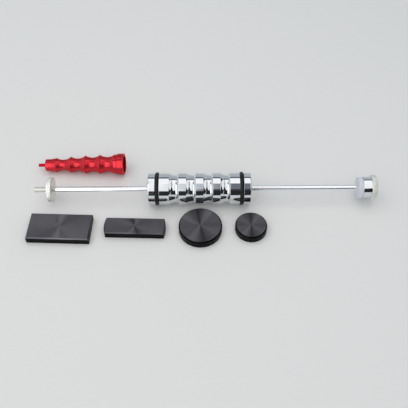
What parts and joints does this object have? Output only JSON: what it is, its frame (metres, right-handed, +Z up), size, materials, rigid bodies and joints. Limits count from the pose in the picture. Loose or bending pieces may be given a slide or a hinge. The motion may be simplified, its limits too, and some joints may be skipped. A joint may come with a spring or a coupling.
{
  "type": "slide hammer puller",
  "caption": "Glue-pull slide hammer: chromed finger-grooved weight sliding on a rod with lock nuts and a cushioned stop, its screw-on red grip and black pull tabs lying beside it.",
  "frame": {"origin": "centre of the laid-out set's bounding box, on the surface it lies on", "axes": "+X along the rod from the pulling stud to the rear stop, +Y from the pull tabs towards the loose grip, +Z up"},
  "size_m": [0.4868, 0.154, 0.047],
  "materials": {
    "rod_hard_chrome": "ground and hard-chromed, bright",
    "weight_chrome": "polished chrome plate",
    "nut_zinc": "zinc-plated, knurled rim, bright turned faces",
    "ring_rubber": "black nitrile, slightly glossy",
    "bush_bronze": "sintered bronze, matte",
    "cushion_nylon": "natural nylon, satin",
    "grip_red_anodised": "red anodised, satin",
    "tab_black_anodised": "black anodised, turned face"
  },
  "bodies": {
    "shaft": {"shaft": "rod_hard_chrome", "rear_cushion": "cushion_nylon", "rear_stop_collar": "weight_chrome"},
    "front_nut": {"front_lock_nut": "nut_zinc"},
    "rear_nut": {"rear_lock_nut": "nut_zinc"},
    "bushes": {"weight_bush_front": "bush_bronze", "weight_bush_rear": "bush_bronze"},
    "weight": {"weight_body": "weight_chrome", "weight_ring_front": "ring_rubber", "weight_ring_rear": "ring_rubber"},
    "grip": {"hand_grip": "grip_red_anodised"},
    "tab_rectangular": {"tab_rectangular": "tab_black_anodised"},
    "tab_narrow": {"tab_narrow": "tab_black_anodised"},
    "tab_round_large": {"tab_round_large": "tab_black_anodised"},
    "tab_round_small": {"tab_round_small": "tab_black_anodised"}
  },
  "joints": [
    {"name": "weight_slide", "type": "slide", "parent": "shaft", "child": "bushes", "axis": [1, 0, 0], "range_m": [-0.1342, 0.1507]},
    {"name": "weight_spin", "type": "hinge", "parent": "bushes", "child": "weight", "pos_m": [-0.0044, 0.00735, 0.0235], "axis": [1, 0, 0], "continuous": true},
    {"name": "front_nut_turn", "type": "hinge", "parent": "shaft", "child": "front_nut", "pos_m": [-0.21415, 0.00735, 0.0235], "axis": [1, 0, 0], "continuous": true},
    {"name": "rear_nut_turn", "type": "hinge", "parent": "shaft", "child": "rear_nut", "pos_m": [0.24015, 0.00735, 0.0235], "axis": [1, 0, 0], "continuous": true},
    {"name": "grip_lift", "type": "slide", "parent": "shaft", "child": "grip", "axis": [0, 0, 1], "range_m": [0, 0.06]},
    {"name": "tab_rectangular_lift", "type": "slide", "parent": "shaft", "child": "tab_rectangular", "axis": [0, 0, 1], "range_m": [0, 0.06]},
    {"name": "tab_narrow_lift", "type": "slide", "parent": "shaft", "child": "tab_narrow", "axis": [0, 0, 1], "range_m": [0, 0.06]},
    {"name": "tab_round_large_lift", "type": "slide", "parent": "shaft", "child": "tab_round_large", "axis": [0, 0, 1], "range_m": [0, 0.06]},
    {"name": "tab_round_small_lift", "type": "slide", "parent": "shaft", "child": "tab_round_small", "axis": [0, 0, 1], "range_m": [0, 0.06]}
  ]
}
